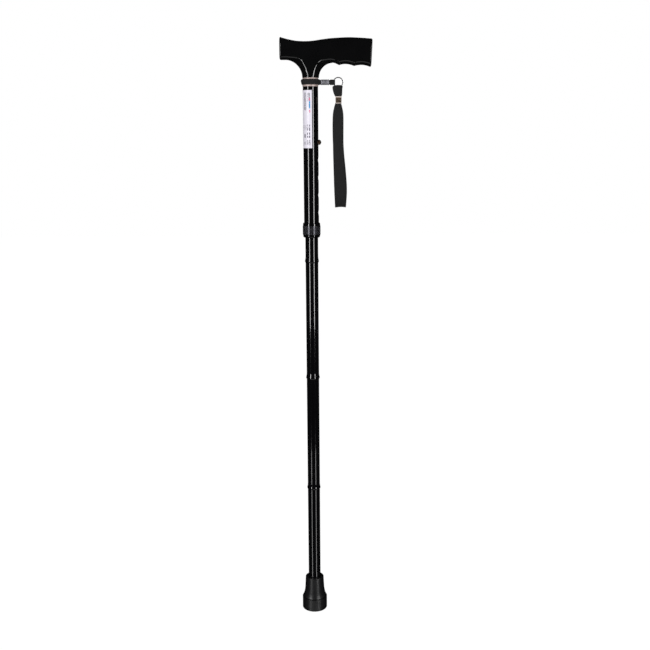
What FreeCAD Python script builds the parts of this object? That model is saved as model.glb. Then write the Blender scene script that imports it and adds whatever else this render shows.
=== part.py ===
import FreeCAD, Part
import math
import os

# A folding walking stick with a T-shaped handle, a height-adjusting upper tube, three pull-apart
# joints held together by an elastic cord, a rubber tip, and a wrist strap on a band round its collar.
# Millimetres. +Z is up, the origin is the middle of the tip's bottom face, and +X points towards the
# long end of the handle. The sections are drawn at their closed joints and the shortest height.

# ---- driving dimensions ----
WALL = 1.2                      # every tube's wall
UPPER_R = 11.0                  # 22 mm outer tube
LOWER_R = 9.5                   # 19 mm inner tube and folding sections
RUNNING = 0.05                  # radial clearance of a sliding fit
CLEAR = 0.3                     # radial clearance of parts that pass each other freely
SECTION = 179.5                 # one folding section, joint face to joint face
FOOT_JOINT_Z = 205.0            # lowest joint face
BELL_H = 9.0                    # flared end of each section above its joint face
BELL_R = 10.35                  # widest radius of the flare
SLEEVE_UP = 42.0                # how far a joint sleeve stands into the section above
SLEEVE_DOWN = 28.0              # how far it is pressed into its own section
SLEEVE_BORE_R = 6.9
JOINT_GAP = 0.1                 # between the two faces of a closed joint
COLLAR_Z = 817.3                # underside of the collar
COLLAR_H = 12.0
COLLAR_WALL = 0.4
NECK_Z = COLLAR_Z + COLLAR_H    # where the handle's neck meets the upper tube
NUT_Z = 601.5                   # underside of the lock nut
NUT_H = 21.5
NUT_R = 13.2
BUTTON_Z = 739.3                # snap button, in the highest of the upper tube's holes
HOLE_PITCH = 25.4
HOLE_COUNT = 5
HOLE_R = 4.2
BUTTON_R = 3.6
BUTTON_TOP_R = 15.1             # how far the button's dome stands from the stick's axis
BUTTON_TURN = -3.0              # degrees from +X to the holes and the button
TIP_H = 54.8
TIP_R = 19.65
WASHER_Z = 10.5
WASHER_T = 1.5
CORD_R = 2.0                    # elastic cord
TOP_ANCHOR_Z = 683.0
FOOT_ANCHOR_Z = 120.0
RING_R = 6.65                   # split ring, centre of its wire
RING_WIRE_R = 0.65
RING_X = 39.9
RING_Z = 823.1
STRAP_W = 15.5                  # webbing of the wrist strap
STRAP_T = 1.5
STRAP_X = 39.9
STRAP_TOP_Z = 793.6             # where the two layers of the loop leave their crimp

JOINT_Z = [FOOT_JOINT_Z + n * SECTION for n in range(3)]
UPPER_BORE_R = UPPER_R - WALL
LOWER_BORE_R = LOWER_R - WALL
UPPER_END_Z = NUT_Z + 5.5
INNER_TOP_Z = BUTTON_Z + 26.0
COLLAR_R = UPPER_R + COLLAR_WALL
AXIS = FreeCAD.Vector(0, 0, 1)


def vec(x, y, z):
    return FreeCAD.Vector(x, y, z)


def export(shape, node):
    """Writes one sub-part, after a look that it is closed, valid solids."""
    assert shape.isValid() and shape.Volume > 0, node
    assert all(solid.isClosed() for solid in shape.Solids), node
    shape.exportStep("parts/" + node + ".step")
    print("%-20s %2d solid(s) %10.1f mm3" % (node, len(shape.Solids), shape.Volume))


def cylinder(radius, z0, z1, axis_x=0.0, axis_y=0.0):
    return Part.makeCylinder(radius, z1 - z0, vec(axis_x, axis_y, z0), AXIS)


def pipe(outer_r, inner_r, z0, z1):
    return cylinder(outer_r, z0, z1).cut(cylinder(inner_r, z0 - 1, z1 + 1))


def turned(outline):
    """A solid turned about the stick's axis from (radius, z) points.

    A point with a third and fourth number is the end of an arc through (radius, z) = those two.
    """
    edges = []
    for here, there in zip(outline, outline[1:] + outline[:1]):
        start = vec(here[0], 0, here[1])
        end = vec(there[0], 0, there[1])
        if len(there) == 4:
            edges.append(Part.Arc(start, vec(there[2], 0, there[3]), end).toShape())
        else:
            edges.append(Part.makeLine(start, end))
    return Part.Face(Part.Wire(edges)).revolve(vec(0, 0, 0), AXIS, 360)


def towards_button(radius, across=0.0, z=0.0):
    """A point at a radius from the stick's axis in the button's direction."""
    turn = math.radians(BUTTON_TURN)
    return vec(radius * math.cos(turn) - across * math.sin(turn),
               radius * math.sin(turn) + across * math.cos(turn), z)


def button_rod(radius, r0, r1, z):
    """A round bar along the button's own direction, from radius r0 to r1 of the stick."""
    return Part.makeCylinder(radius, r1 - r0, towards_button(r0, 0, z), towards_button(1))


# ---- handle ----
def bar_section(x, bottom, top, half_width):
    """One closed outline across the grip: a full crown above, flatter sides, and tighter lower edges."""
    crown = 0.52 * (top - bottom)
    middle = top - crown
    points = []
    steps = 16
    for n in range(steps):
        a = 2 * math.pi * n / steps
        c = math.cos(a)
        s = math.sin(a)
        roundness = 0.78 if s >= 0 else 0.55
        y = half_width * math.copysign(abs(c) ** roundness, c)
        reach = crown if s >= 0 else middle - bottom
        z = middle + reach * math.copysign(abs(s) ** roundness, s)
        points.append(vec(x, y, z))
    curve = Part.BSplineCurve()
    curve.interpolate(points, PeriodicFlag=True)
    return Part.Wire([curve.toShape()])


# along the grip: x, underside and top above the neck's lower end, half width across
GRIP = [
    (-43.4, 25.6, 52.4, 11.8),
    (-42.8, 25.0, 54.4, 12.4),
    (-41.2, 24.9, 55.2, 12.8),
    (-35.0, 25.0, 53.5, 13.0),
    (-24.0, 24.4, 51.6, 13.1),
    (-8.0, 23.0, 50.2, 13.0),
    (8.0, 22.0, 51.3, 13.0),
    (24.0, 20.6, 53.5, 13.2),
    (32.6, 20.3, 54.4, 13.4),
    (41.2, 17.9, 54.8, 13.6),
    (51.5, 18.9, 55.2, 13.7),
    (62.7, 16.6, 55.1, 13.6),
    (72.5, 17.6, 54.5, 13.4),
    (82.0, 15.8, 53.8, 13.2),
    (88.6, 15.0, 53.2, 13.0),
    (89.6, 15.8, 52.2, 12.4),
]
END_TRIM = 2.0                  # how far the long end's face leans back under its top edge
NECK_R = 11.8
LEFT_SWEEP = 25.0               # radius of the curve from the neck to the short end
RIGHT_SWEEP = 20.6              # and to the long end
SPIGOT_H = 34.0
PIN_Z = NECK_Z - 6.2
PIN_R = 1.5


def handle():
    grip = Part.makeLoft([bar_section(x, NECK_Z + low, NECK_Z + high, half)
                          for x, low, high, half in GRIP], True, False)
    grip = grip.cut(end_wedge())
    rings = []
    for height in (0.0, 4.0, 9.0, 14.0, 18.0, 22.0, 27.0):
        left = NECK_R + LEFT_SWEEP - math.sqrt(LEFT_SWEEP ** 2 - min(height, 21.5) ** 2)
        right_height = min(height, 17.5)
        right = NECK_R + RIGHT_SWEEP - math.sqrt(RIGHT_SWEEP ** 2 - right_height ** 2)
        half_x = (left + right) / 2
        half_y = NECK_R + 0.9 * math.sin(math.pi / 2 * height / 27.0)
        rings.append(neck_ring((right - left) / 2, half_x, half_y, NECK_Z + height))
    neck = Part.makeLoft(rings, True, False)
    spigot = cylinder(UPPER_BORE_R, NECK_Z - SPIGOT_H, NECK_Z + 5)
    body = grip.fuse(neck).fuse(spigot)
    return body.cut(handle_pin())


def end_wedge():
    """The space beyond the long end's face, which leans back towards its lower edge."""
    top_x = 88.6
    low_x = top_x - END_TRIM
    low_z = NECK_Z + 10
    high_z = NECK_Z + 60
    lean = END_TRIM / 40.0
    corners = [vec(low_x - 6 * lean, -20, low_z), vec(top_x + 5 * lean, -20, high_z),
               vec(top_x + 10, -20, high_z), vec(top_x + 10, -20, low_z)]
    return Part.Face(Part.makePolygon(corners + corners[:1])).extrude(vec(0, 40, 0))


def neck_ring(centre_x, half_x, half_y, z):
    """One level outline of the neck: a circle at the tube, drawn out along X towards the grip."""
    points = []
    steps = 16
    for n in range(steps):
        a = 2 * math.pi * n / steps
        points.append(vec(centre_x + half_x * math.cos(a), half_y * math.sin(a), z))
    curve = Part.BSplineCurve()
    curve.interpolate(points, PeriodicFlag=True)
    return Part.Wire([curve.toShape()])


def handle_pin():
    length = 2 * UPPER_R - 0.6
    return Part.makeCylinder(PIN_R, length, vec(0, -length / 2, PIN_Z), vec(0, 1, 0))


def handle_collar():
    lip = 0.15
    return turned([
        (UPPER_R, COLLAR_Z), (COLLAR_R - lip, COLLAR_Z), (COLLAR_R, COLLAR_Z + 2 * lip),
        (COLLAR_R, NECK_Z - 2 * lip), (COLLAR_R - lip, NECK_Z), (UPPER_R, NECK_Z)])


# ---- upper tube and height adjustment ----
def upper_tube():
    tube = pipe(UPPER_R, UPPER_BORE_R, UPPER_END_Z, NECK_Z)
    for n in range(HOLE_COUNT):
        tube = tube.cut(button_rod(HOLE_R, 0, UPPER_R + 2, BUTTON_Z - n * HOLE_PITCH))
    return tube.cut(handle_pin())


LABEL_T = 0.15
LABEL_Z = 731.0
LABEL_H = 81.1
LABEL_TURN = 128.0              # degrees that the label covers
LABEL_EDGE = -79.0              # degrees from +X to the label's edge nearest the holes


def tube_label():
    ring = pipe(UPPER_R + LABEL_T, UPPER_R, LABEL_Z, LABEL_Z + LABEL_H)
    wedge = Part.makeCylinder(UPPER_R + 5, LABEL_H + 2, vec(0, 0, LABEL_Z - 1), AXIS, LABEL_TURN)
    wedge.rotate(vec(0, 0, 0), AXIS, LABEL_EDGE - LABEL_TURN)
    return ring.common(wedge)


SLEEVE_THREAD_R = 11.45
NUT_BORE_R = 11.75


def threaded_sleeve():
    """The plastic sleeve bonded over the upper tube's lower end, with its thread as plain ridges."""
    root_r = SLEEVE_THREAD_R - 0.2
    pitch = 2.0
    z = UPPER_END_Z
    outline = [(UPPER_R, z), (root_r, z)]
    for n in range(6):
        low = z + 0.8 + n * pitch
        outline += [(root_r, low), (SLEEVE_THREAD_R, low + 0.5), (root_r, low + 1.0)]
    top = z + 13.5
    outline += [(root_r, top), (UPPER_R, top)]
    return turned(outline)


def lock_nut():
    lip_r = LOWER_R + 0.4
    seat = NUT_Z + 1.9
    top = NUT_Z + NUT_H
    body = turned([
        (lip_r, NUT_Z), (11.1, NUT_Z), (12.5, NUT_Z + 2.6, 12.1, NUT_Z + 0.9), (12.75, NUT_Z + 3.6),
        (NUT_R - 0.25, NUT_Z + 4.4), (NUT_R, NUT_Z + 5.4), (NUT_R, NUT_Z + 16.4),
        (NUT_R - 0.25, NUT_Z + 17.2), (12.85, NUT_Z + 18.0), (12.6, NUT_Z + 20.3),
        (12.0, top, 12.35, NUT_Z + 21.2), (NUT_BORE_R, top), (NUT_BORE_R, seat), (lip_r, seat)])
    grooves = []
    count = 32
    for n in range(count):
        a = 2 * math.pi * n / count
        reach = NUT_R + 0.22
        grooves.append(cylinder(0.5, NUT_Z + 4.8, NUT_Z + 17.0,
                                reach * math.cos(a), reach * math.sin(a)))
    return body.cut(Part.makeCompound(grooves))


def compression_ring():
    low = NUT_Z + 1.95
    bore_r = LOWER_R + RUNNING
    return turned([(bore_r, low), (11.4, low), (11.4, low + 1.6), (10.6, low + 3.3), (bore_r, low + 3.3)])


def bell_tube(joint_z, top_z):
    """A 19 mm tube whose lower end is flared where the section below seats."""
    return turned([
        (LOWER_R - 0.35, joint_z), (LOWER_R + 0.2, joint_z),
        (BELL_R, joint_z + 2.8, LOWER_R + 0.72, joint_z + 0.9),
        (LOWER_R, joint_z + BELL_H, LOWER_R + 0.25, joint_z + 5.8),
        (LOWER_R, top_z), (LOWER_BORE_R, top_z),
        (LOWER_BORE_R, joint_z + BELL_H - 2), (LOWER_R - 0.35, joint_z + 2.0)])


def inner_tube():
    tube = bell_tube(JOINT_Z[2], INNER_TOP_Z)
    return tube.cut(button_rod(BUTTON_R + CLEAR, 0, LOWER_R + 2, BUTTON_Z))


def inner_tube_bush():
    top = INNER_TOP_Z + 5
    slide_r = UPPER_BORE_R - RUNNING
    return turned([
        (5.0, INNER_TOP_Z - 9), (LOWER_BORE_R - 0.4, INNER_TOP_Z - 9), (LOWER_BORE_R, INNER_TOP_Z - 8),
        (LOWER_BORE_R, INNER_TOP_Z), (slide_r, INNER_TOP_Z), (slide_r, top - 0.8),
        (slide_r - 0.8, top), (5.0, top)])


FLANGE_R0 = 5.95                # inner face of the button's flange, from the stick's axis
FLANGE_R1 = 6.75


def snap_button():
    flange = button_rod(4.6, FLANGE_R0, FLANGE_R1, BUTTON_Z)
    shank = button_rod(BUTTON_R, FLANGE_R0, BUTTON_TOP_R - 2.4, BUTTON_Z)
    dome_r = 4.0                # sphere whose cap, over the shank, is 2.4 high
    dome = Part.makeSphere(dome_r, towards_button(BUTTON_TOP_R - dome_r, 0, BUTTON_Z))
    cap = dome.common(button_rod(BUTTON_R, BUTTON_TOP_R - 2.4, BUTTON_TOP_R + 1, BUTTON_Z))
    return flange.fuse(shank).fuse(cap).removeSplitter()


LEAF_T = 0.6
LEAF_W = 8.0
LEAF_BEND_Z = BUTTON_Z - 33.0


def button_spring():
    """A steel V leaf: one leg carries the button, and the other bears on the far side of the tube."""
    front = FLANGE_R0 - 0.05
    back = -7.1
    outline = [
        (front, BUTTON_Z + 6), (front, BUTTON_Z - 6), (0.9, LEAF_BEND_Z), (-0.9, LEAF_BEND_Z),
        (back, BUTTON_Z + 3), (back + LEAF_T, BUTTON_Z + 3), (-0.45, LEAF_BEND_Z + LEAF_T),
        (0.45, LEAF_BEND_Z + LEAF_T), (front - LEAF_T, BUTTON_Z - 5.9), (front - LEAF_T, BUTTON_Z + 6)]
    corners = [towards_button(r, -LEAF_W / 2, z) for r, z in outline]
    face = Part.Face(Part.makePolygon(corners + corners[:1]))
    return face.extrude(towards_button(0, LEAF_W))


# ---- folding sections ----
def joint_sleeve(joint_z):
    """The aluminium sleeve fixed in the top of one section, which guides the section above."""
    slide_r = LOWER_BORE_R - RUNNING
    top = joint_z + SLEEVE_UP
    low = joint_z - SLEEVE_DOWN
    return turned([
        (SLEEVE_BORE_R, low), (LOWER_BORE_R, low), (LOWER_BORE_R, joint_z - JOINT_GAP),
        (slide_r, joint_z - JOINT_GAP), (slide_r, top - 2), (slide_r - 0.7, top), (SLEEVE_BORE_R, top)])


def foot_tube():
    return pipe(LOWER_R, LOWER_BORE_R, WASHER_Z + WASHER_T, JOINT_Z[0] - JOINT_GAP)


def cord_anchor(z):
    """A plug pressed into a tube, with a hole that the elastic cord passes through."""
    return pipe(LOWER_BORE_R, CORD_R + CLEAR, z, z + 9)


def cord_knot(z):
    """The overhand knot that stops the cord at its anchor, as a plain rounded lump."""
    knot = Part.makeSphere(4.6, vec(0, 0, z))
    flat = 4.0
    return knot.common(Part.makeBox(12, 12, 2 * flat, vec(-6, -6, z - flat)))


def elastic_cord(z0, z1):
    return cylinder(CORD_R, z0, z1)


# ---- rubber tip ----
def rubber_tip():
    lip = 1.2
    top_r = 14.4
    outline = [
        (0, 0), (18.2, 0), (TIP_R, 1.8, 19.2, 0.5), (TIP_R, 19.6), (19.2, 20.1, 19.5, 20.0),
        (18.9, 19.8), (17.5, 19.2), (17.5, 20.6), (18.7, 21.4), (16.65, 27.2, 17.4, 24.6),
        (15.2, 37.5, 15.75, 31.8), (top_r, TIP_H - lip), (top_r - lip, TIP_H, top_r - 0.35, TIP_H - 0.35),
        (LOWER_R + 1.0, TIP_H), (LOWER_R, TIP_H - 2), (LOWER_R, WASHER_Z), (0, WASHER_Z)]
    tip = turned(outline)
    for groove_r in (6.0, 10.0, 14.0):
        tip = tip.cut(pipe(groove_r + 1.6, groove_r, -1, 1.6))
    return tip


def tip_washer():
    return cylinder(LOWER_R, WASHER_Z, WASHER_Z + WASHER_T)


# ---- wrist strap ----
BAND_T = 1.15                   # webbing of the band round the collar
BAND_H = 8.2
BAND_Z = 819.45
TAIL_H = 6.0                    # the same webbing, gathered where it runs through its crimp
TAIL_END_X = RING_X - RING_R    # where it turns round the ring's wire
EYE_R = 1.3


def strap_band():
    inner_r = COLLAR_R + RUNNING
    outer_r = inner_r + BAND_T
    ring = pipe(outer_r, inner_r, BAND_Z, BAND_Z + BAND_H)
    tail_z = RING_Z - TAIL_H / 2
    half = EYE_R + 0.9
    tail = Part.makeBox(TAIL_END_X - inner_r, 2 * BAND_T, TAIL_H, vec(inner_r, -BAND_T, tail_z))
    eye = cylinder(half, tail_z, tail_z + TAIL_H, TAIL_END_X + 0.4)
    band = ring.fuse(tail.cut(cylinder(inner_r, tail_z - 1, tail_z + TAIL_H + 1))).fuse(eye)
    hole = cylinder(EYE_R, tail_z - 1, tail_z + TAIL_H + 1, TAIL_END_X + 0.4)
    return band.cut(hole)


CRIMP_X0 = 14.8
CRIMP_X1 = 26.7
CRIMP_H = 8.0


def band_crimp():
    length = CRIMP_X1 - CRIMP_X0
    metal = 0.75
    half = BAND_T + metal
    shell = Part.makeBox(length, 2 * half, CRIMP_H, vec(CRIMP_X0, -half, RING_Z + 0.5 - CRIMP_H / 2))
    shell = shell.makeFillet(0.7, [e for e in shell.Edges if abs(e.tangentAt(0).x) > 0.9])
    slot = Part.makeBox(length + 2, 2 * BAND_T, TAIL_H, vec(CRIMP_X0 - 1, -BAND_T, RING_Z - TAIL_H / 2))
    return shell.cut(slot)


def split_ring():
    return Part.makeTorus(RING_R, RING_WIRE_R, vec(RING_X, 0, RING_Z), vec(0, 1, 0))


TAB_TOP_Z = RING_Z - RING_R + 2.5
TAB_NECK_W = 5.6
TAB_T = 2.2                     # half the thickness of the two layers and the space between them
STRAP_CRIMP_Z = 793.7
STRAP_CRIMP_H = 9.8
STRAP_CRIMP_W = 7.7


def strap_tab():
    """The webbing's ends, folded over the ring and gathered into the crimp."""
    wire_z = RING_Z - RING_R
    shoulder_z = wire_z - 2.4
    half_neck = TAB_NECK_W / 2
    half_wide = 6.9
    half_tail = STRAP_CRIMP_W / 2 - 0.8
    crimp_top = STRAP_CRIMP_Z + STRAP_CRIMP_H
    tail_z = STRAP_CRIMP_Z + 4.9
    outline = [
        (-half_neck, TAB_TOP_Z), (half_neck, TAB_TOP_Z), (half_neck, shoulder_z), (half_wide, shoulder_z - 1),
        (5.2, crimp_top + 1), (half_tail, crimp_top), (half_tail, tail_z), (-half_tail, tail_z),
        (-half_tail, crimp_top), (-5.2, crimp_top + 1), (-half_wide, shoulder_z - 1),
        (-half_neck, shoulder_z)]
    corners = [vec(STRAP_X + x, -TAB_T, z) for x, z in outline]
    tab = Part.Face(Part.makePolygon(corners + corners[:1])).extrude(vec(0, 2 * TAB_T, 0))
    eye = Part.makeCylinder(1.5, 20, vec(STRAP_X - 10, 0, wire_z), vec(1, 0, 0))
    return tab.cut(eye)


def strap_crimp():
    metal = 0.8
    half_y = TAB_T + metal
    shell = Part.makeBox(STRAP_CRIMP_W, 2 * half_y, STRAP_CRIMP_H,
                         vec(STRAP_X - STRAP_CRIMP_W / 2, -half_y, STRAP_CRIMP_Z))
    shell = shell.makeFillet(0.9, [e for e in shell.Edges if abs(e.tangentAt(0).z) > 0.9])
    slot_w = STRAP_CRIMP_W - 2 * metal
    slot = Part.makeBox(slot_w, 2 * TAB_T, STRAP_CRIMP_H + 2,
                        vec(STRAP_X - slot_w / 2, -TAB_T, STRAP_CRIMP_Z - 1))
    return shell.cut(slot)


# route of the loop's webbing in the plane across the handle, as (y, z): down in front of the stick's
# right side, round the bottom, and up behind
STRAP_ROUTE = [
    (-0.95, STRAP_TOP_Z), (-1.7, 780.0), (-3.6, 757.0), (-7.0, 729.0), (-10.2, 700.0), (-12.6, 673.0),
    (-10.4, 652.6), (-1.0, 645.0), (9.0, 650.2), (12.8, 671.0), (10.8, 698.0), (7.6, 727.0),
    (4.0, 756.0), (1.9, 780.0), (0.95, STRAP_TOP_Z)]


def wrist_strap():
    """Flat webbing along the route: straight runs joined by tangent arcs, one layer thick."""
    points = [vec(STRAP_X - STRAP_W / 2, y, z) for y, z in STRAP_ROUTE]
    edges = []
    start = points[0]
    for before, corner, after in zip(points, points[1:], points[2:]):
        come = (before - corner)
        leave = (after - corner)
        turn = math.pi - come.getAngle(leave)
        reach = 0.45 * min(come.Length, leave.Length)
        radius = reach / math.tan(turn / 2)
        print("   strap radius %.1f mm at y %.1f z %.1f" % (radius, corner.y, corner.z))
        into = corner + come.normalize() * reach
        out = corner + leave.normalize() * reach
        inward = (come + leave).normalize()
        middle = corner + inward * (radius / math.cos(turn / 2) - radius)
        edges.append(Part.makeLine(start, into))
        edges.append(Part.Arc(into, middle, out).toShape())
        start = out
    edges.append(Part.makeLine(start, points[-1]))
    path = Part.Wire(edges)
    across = vec(0, edges[0].tangentAt(0).z, -edges[0].tangentAt(0).y)
    corners = [points[0] + across * (side * STRAP_T / 2) for side in (-1, 1)]
    corners += [corners[1] + vec(STRAP_W, 0, 0), corners[0] + vec(STRAP_W, 0, 0)]
    strap = path.makePipeShell([Part.makePolygon(corners + corners[:1])], True, False)
    print("   strap route %.1f mm, volume over section %.1f mm"
          % (path.Length, strap.Volume / (STRAP_W * STRAP_T)))
    return strap


def main():
    os.makedirs("parts", exist_ok=True)
    export(handle(), "handle")
    export(handle_pin(), "handle_pin")
    export(handle_collar(), "handle_collar")
    export(upper_tube(), "upper_tube")
    export(tube_label(), "tube_label")
    export(threaded_sleeve(), "threaded_sleeve")
    export(lock_nut(), "lock_nut")
    export(compression_ring(), "compression_ring")
    export(inner_tube(), "inner_tube")
    export(inner_tube_bush(), "inner_tube_bush")
    export(snap_button(), "snap_button")
    export(button_spring(), "button_spring")
    export(bell_tube(JOINT_Z[1], JOINT_Z[2] - JOINT_GAP), "fold_tube_1")
    export(bell_tube(JOINT_Z[0], JOINT_Z[1] - JOINT_GAP), "fold_tube_2")
    export(foot_tube(), "foot_tube")
    for number, joint_z in enumerate(reversed(JOINT_Z), 1):
        export(joint_sleeve(joint_z), "joint_sleeve_%d" % number)
    export(cord_anchor(TOP_ANCHOR_Z), "cord_anchor_top")
    export(cord_anchor(FOOT_ANCHOR_Z), "cord_anchor_foot")
    knot_gap = 4.0
    top_knot_z = TOP_ANCHOR_Z + 9 + knot_gap
    foot_knot_z = FOOT_ANCHOR_Z - knot_gap
    export(cord_knot(top_knot_z), "cord_knot_top")
    export(cord_knot(foot_knot_z), "cord_knot_foot")
    splices = [top_knot_z - knot_gap, JOINT_Z[2] - SECTION / 2, JOINT_Z[1] - SECTION / 2,
               foot_knot_z + knot_gap]
    for number, (high, low) in enumerate(zip(splices, splices[1:]), 1):
        export(elastic_cord(low, high), "elastic_cord_%d" % number)
    export(rubber_tip(), "rubber_tip")
    export(tip_washer(), "tip_washer")
    export(strap_band(), "strap_band")
    export(band_crimp(), "band_crimp")
    export(split_ring(), "split_ring")
    export(strap_tab(), "strap_tab")
    export(strap_crimp(), "strap_crimp")
    export(wrist_strap(), "wrist_strap")


main()
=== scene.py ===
import math
import random

import bmesh
import bpy
import numpy as np
from mathutils import Euler, Matrix, Vector


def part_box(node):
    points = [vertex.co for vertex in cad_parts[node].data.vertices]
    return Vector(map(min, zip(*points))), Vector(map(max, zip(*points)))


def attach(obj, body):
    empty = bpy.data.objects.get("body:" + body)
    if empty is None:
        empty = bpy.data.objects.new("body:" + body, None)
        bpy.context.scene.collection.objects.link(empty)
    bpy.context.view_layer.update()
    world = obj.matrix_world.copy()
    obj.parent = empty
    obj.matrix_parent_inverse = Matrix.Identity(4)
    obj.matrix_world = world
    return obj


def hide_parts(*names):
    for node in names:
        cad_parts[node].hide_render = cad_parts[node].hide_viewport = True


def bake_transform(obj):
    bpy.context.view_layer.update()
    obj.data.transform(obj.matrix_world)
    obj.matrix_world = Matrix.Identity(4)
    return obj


# A folding walking stick standing on its rubber tip, in a white studio. Metres, in the part's frame:
# +Z up, the origin under the tip, +X towards the long end of the handle.

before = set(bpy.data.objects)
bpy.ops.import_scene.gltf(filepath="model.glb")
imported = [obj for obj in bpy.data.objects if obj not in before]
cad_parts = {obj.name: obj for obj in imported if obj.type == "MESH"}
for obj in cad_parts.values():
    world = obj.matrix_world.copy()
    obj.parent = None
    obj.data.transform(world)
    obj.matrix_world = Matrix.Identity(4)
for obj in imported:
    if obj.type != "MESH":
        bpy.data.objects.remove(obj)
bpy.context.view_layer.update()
MM = 0.001


# ---- sizes shared with the part, in millimetres ----
NECK_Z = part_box("handle_collar")[1].z / MM          # top of the collar, where the handle begins
TUBE_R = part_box("upper_tube")[1].x / MM
RING_X = (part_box("split_ring")[0].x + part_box("split_ring")[1].x) / 2 / MM
RING_Z = (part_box("split_ring")[0].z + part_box("split_ring")[1].z) / 2 / MM
RING_WIRE_R = 0.65
RING_R = (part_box("split_ring")[1].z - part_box("split_ring")[0].z) / 2 / MM - RING_WIRE_R


# ---- mesh tools ----
def link(obj):
    bpy.context.scene.collection.objects.link(obj)
    return obj


def mesh_piece(name, points, faces, smooth=True):
    """A mesh object from points in millimetres."""
    mesh = bpy.data.meshes.new(name)
    mesh.from_pydata([[c * MM for c in p] for p in points], [], faces)
    mesh.update()
    mesh.polygons.foreach_set("use_smooth", [smooth] * len(mesh.polygons))
    return link(bpy.data.objects.new(name, mesh))


def grid_faces(rows, columns, around=False, along=False):
    """Quads over rows of columns points; around joins the last column to the first, along the rows."""
    faces = []
    for i in range(rows if along else rows - 1):
        for j in range(columns if around else columns - 1):
            a, b = i * columns, (i + 1) % rows * columns
            k = (j + 1) % columns
            faces.append((a + j, a + k, b + k, b + j))
    return faces


def distances(points):
    """How far along a line each of its points is."""
    return np.concatenate([[0], np.cumsum(np.linalg.norm(np.diff(points, axis=0), axis=1))])


def smooth_curve(points, step, cyclic=False):
    """Points every step along the NURBS curve that has these control points (all in millimetres)."""
    curve = bpy.data.curves.new("route", "CURVE")
    curve.dimensions = "3D"
    curve.resolution_u = 24
    spline = curve.splines.new("NURBS")
    spline.points.add(len(points) - 1)
    for place, point in zip(spline.points, points):
        place.co = (*point, 1)
    spline.use_cyclic_u = cyclic
    spline.order_u = 3
    spline.use_endpoint_u = not cyclic
    holder = bpy.data.objects.new("route", curve)
    line = bpy.data.meshes.new_from_object(holder)
    dense = np.array([v.co for v in line.vertices], float)
    bpy.data.objects.remove(holder)
    if cyclic:
        dense = np.vstack([dense, dense[:1]])
    run = distances(dense)
    count = int(round(run[-1] / step))
    at = np.linspace(0, run[-1], count + 1)
    even = np.stack([np.interp(at, run, dense[:, k]) for k in range(3)], 1)
    return even[:-1] if cyclic else even


def through(points, x):
    """A smooth curve through (x, value) points, read at x."""
    xs = [p[0] for p in points]
    n = max(0, min(len(xs) - 2, sum(1 for v in xs[1:-1] if v <= x)))
    before, after = max(n - 1, 0), min(n + 2, len(xs) - 1)
    (x0, y0), (x1, y1) = points[n], points[n + 1]
    slope0 = (y1 - points[before][1]) / (x1 - points[before][0])
    slope1 = (points[after][1] - y0) / (points[after][0] - x0)
    t = min(max((x - x0) / (x1 - x0), 0), 1)
    h = x1 - x0
    return ((2 * t**3 - 3 * t**2 + 1) * y0 + (t**3 - 2 * t**2 + t) * h * slope0
            + (3 * t**2 - 2 * t**3) * y1 + (t**3 - t**2) * h * slope1)


def power(value, exponent):
    return math.copysign(abs(value) ** exponent, value)


def ease(value):
    value = min(max(value, 0.0), 1.0)
    return value * value * (3 - 2 * value)


def hump(value, centre, width):
    """A soft hump of height 1."""
    return math.exp(-(((value - centre) / width) ** 2))


def across_tape(count):
    """An odd count of places across a tape, from -1 to 1."""
    return [-1 + j / (count // 2) for j in range(count)]


def freeze(obj):
    """Turns an object's modifiers into its own mesh."""
    graph = bpy.context.evaluated_depsgraph_get()
    mesh = bpy.data.meshes.new_from_object(obj.evaluated_get(graph))
    obj.modifiers.clear()
    obj.data = mesh
    return obj


def relax(obj, weights, rounds, shrink=0.0):
    """Moves each point towards the middle of its neighbours, by its weight.

    With shrink, each round also moves it back by that share, so that the piece keeps its size.
    """
    mesh = obj.data
    count = len(mesh.vertices)
    co = np.zeros(count * 3)
    mesh.vertices.foreach_get("co", co)
    co = co.reshape(-1, 3)
    edges = np.zeros(len(mesh.edges) * 2, int)
    mesh.edges.foreach_get("vertices", edges)
    a, b = edges.reshape(-1, 2).T
    degree = np.bincount(a, minlength=count) + np.bincount(b, minlength=count)
    for _ in range(rounds):
        for sign in (1.0, -shrink) if shrink else (1.0,):
            total = np.stack([np.bincount(a, co[b, k], count) + np.bincount(b, co[a, k], count)
                              for k in range(3)], 1)
            co += sign * weights[:, None] * (total / degree[:, None] - co)
    mesh.vertices.foreach_set("co", co.ravel())
    mesh.update()


def place(obj, body, slot, paint, *replaced):
    """Gives a finished piece its material, its body and the CAD nodes that it stands for."""
    if paint is not None:
        obj.data.materials.clear()
        obj.data.materials.append(paint)
    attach(obj, body)
    if replaced:
        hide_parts(*replaced)
    return obj


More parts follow.
